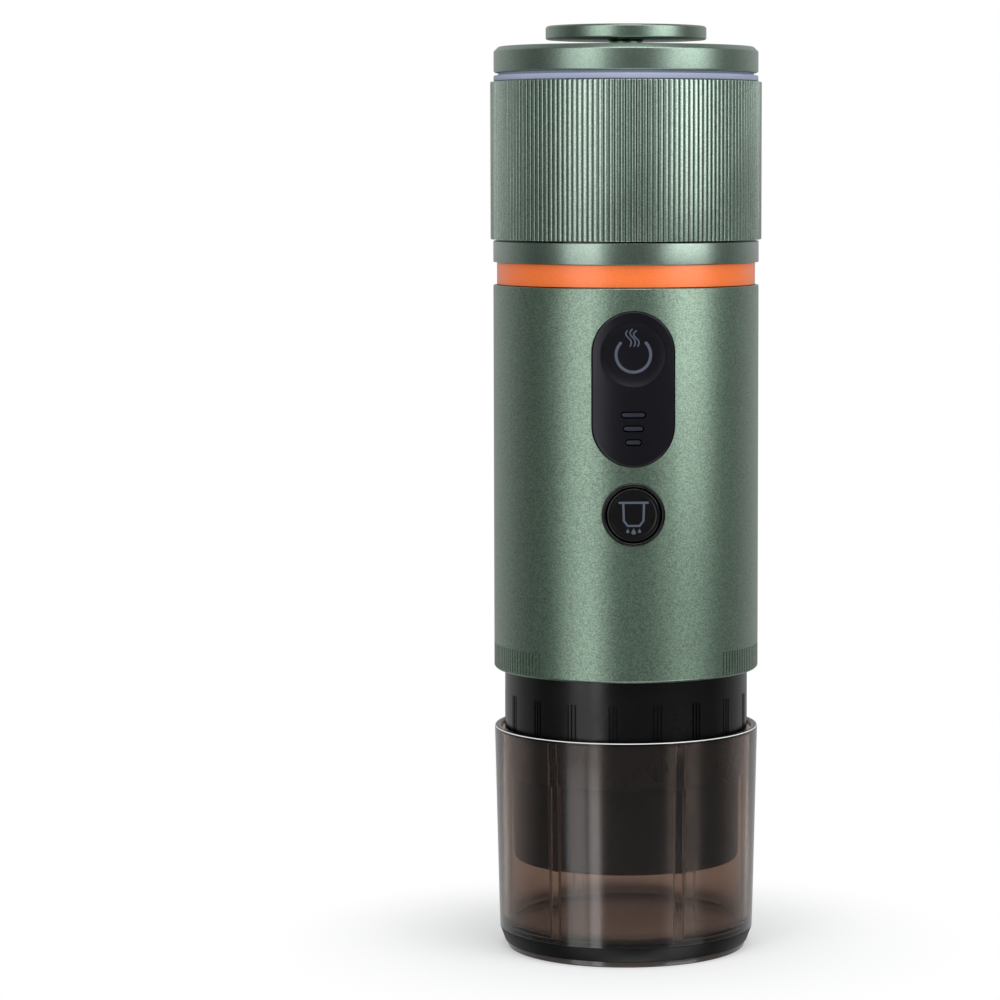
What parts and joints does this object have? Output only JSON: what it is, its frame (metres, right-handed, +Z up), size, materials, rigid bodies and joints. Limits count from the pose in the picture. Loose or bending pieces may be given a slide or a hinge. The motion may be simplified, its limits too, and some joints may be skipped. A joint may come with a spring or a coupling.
{
  "type": "portable electric espresso maker",
  "caption": "Cordless travel espresso maker: ridged water tank and screw lid over a round body with keys, on a capsule adapter that stands in a smoky cup.",
  "frame": {"origin": "middle of the cup's foot, on the surface it stands on", "axes": "+Z up along the machine's axis, -Y towards the keys, +X to the right seen from the front"},
  "size_m": [0.071, 0.071, 0.2424],
  "materials": {
    "smoky_plastic": "tinted clear plastic, polished",
    "soft_black": "matt soft rubber",
    "black_plastic": "fine satin moulding",
    "steel": "brushed stainless steel",
    "capsule_red": "lacquered aluminium",
    "capsule_silver": "bare aluminium foil",
    "clear_silicone": "milky silicone",
    "grey_silicone": "matt grey silicone",
    "green_metal": "bead-blasted anodised aluminium",
    "orange_metal": "satin paint",
    "panel_black": "soft-touch moulding",
    "light_grey": "frosted clear plastic",
    "board_green": "solder mask",
    "cell_wrap": "shrink wrap",
    "motor_metal": "zinc-plated steel"
  },
  "bodies": {
    "cup": {"cup": "smoky_plastic", "cup_heel_ring": "soft_black"},
    "holder": {"capsule_holder": "black_plastic", "piercing_plate": "steel"},
    "collar_seal": {"collar_seal": "clear_silicone"},
    "adapter": {"adapter_ring": "black_plastic", "needle_plate": "steel"},
    "capsule": {"capsule_shell": "capsule_red", "capsule_foil": "capsule_silver"},
    "head_gasket": {"head_gasket": "clear_silicone"},
    "machine": {"head_socket": "black_plastic", "body_tube": "green_metal", "control_panel": "panel_black", "light_bars": "light_grey", "button_bezel": "panel_black", "control_board": "board_green", "key_switches": "black_plastic", "chassis": "black_plastic", "battery_tray": "black_plastic", "battery_cap": "black_plastic", "battery_cells": "cell_wrap", "motor": "motor_metal", "pump_housing": "black_plastic", "pump_head": "black_plastic", "suction_hose": "clear_silicone", "pressure_hose": "clear_silicone", "port_board": "board_green", "charging_port": "steel", "tank_deck": "black_plastic", "accent_ring": "orange_metal", "plain_ring": "green_metal", "heater_plate": "motor_metal", "temperature_sensor": "steel", "tank_liner": "steel", "knurled_sleeve": "green_metal"},
    "power_button": {"power_button": "panel_black"},
    "brew_button": {"brew_button": "panel_black"},
    "port_flap": {"port_flap": "soft_black"},
    "drive_shaft": {"drive_shaft": "steel"},
    "lid_seal": {"lid_seal": "grey_silicone"},
    "lid": {"lid_cap": "green_metal", "lid_plug": "black_plastic", "plug_ring": "clear_silicone", "knob": "green_metal", "knob_screw": "steel"}
  },
  "joints": [
    {"name": "lift_from_cup", "type": "slide", "parent": "cup", "child": "holder", "axis": [0, 0, 1], "range_m": [0, 0.06]},
    {"name": "open_holder", "type": "slide", "parent": "holder", "child": "collar_seal", "axis": [0, 0, 1], "range_m": [0, 0.06]},
    {"name": "unscrew_holder", "type": "hinge", "parent": "collar_seal", "child": "adapter", "pos_m": [0, 0, 0.05], "axis": [0, 0, 1], "range_deg": [0, 180]},
    {"name": "drop_capsule", "type": "slide", "parent": "adapter", "child": "capsule", "axis": [0, 0, -1], "range_m": [0, 0.03]},
    {"name": "release_head", "type": "slide", "parent": "adapter", "child": "head_gasket", "axis": [0, 0, 1], "range_m": [0, 0.04]},
    {"name": "turn_head", "type": "hinge", "parent": "head_gasket", "child": "machine", "pos_m": [0, 0, 0.08], "axis": [0, 0, 1], "range_deg": [0, 60]},
    {"name": "lift_lid", "type": "slide", "parent": "machine", "child": "lid_seal", "axis": [0, 0, 1], "range_m": [0, 0.05]},
    {"name": "turn_lid", "type": "hinge", "parent": "lid_seal", "child": "lid", "pos_m": [0, 0, 0.23], "axis": [0, 0, 1], "range_deg": [0, 90]},
    {"name": "press_power", "type": "slide", "parent": "machine", "child": "power_button", "axis": [0, 1, 0], "range_m": [0, 0.0006], "stiffness_N_per_m": 1500},
    {"name": "press_brew", "type": "slide", "parent": "machine", "child": "brew_button", "axis": [0, 1, 0], "range_m": [0, 0.0008], "stiffness_N_per_m": 1500},
    {"name": "open_port_flap", "type": "hinge", "parent": "machine", "child": "port_flap", "pos_m": [0, 0.0343, 0.0855], "axis": [-1, 0, 0], "range_deg": [0, 95]},
    {"name": "spin_drive", "type": "hinge", "parent": "machine", "child": "drive_shaft", "pos_m": [0, -0.004, 0.12], "axis": [0, 0, 1], "continuous": true}
  ],
  "couplings": [
    {"joint": "drop_capsule", "follows": "open_holder", "ratio": 0.5}
  ]
}
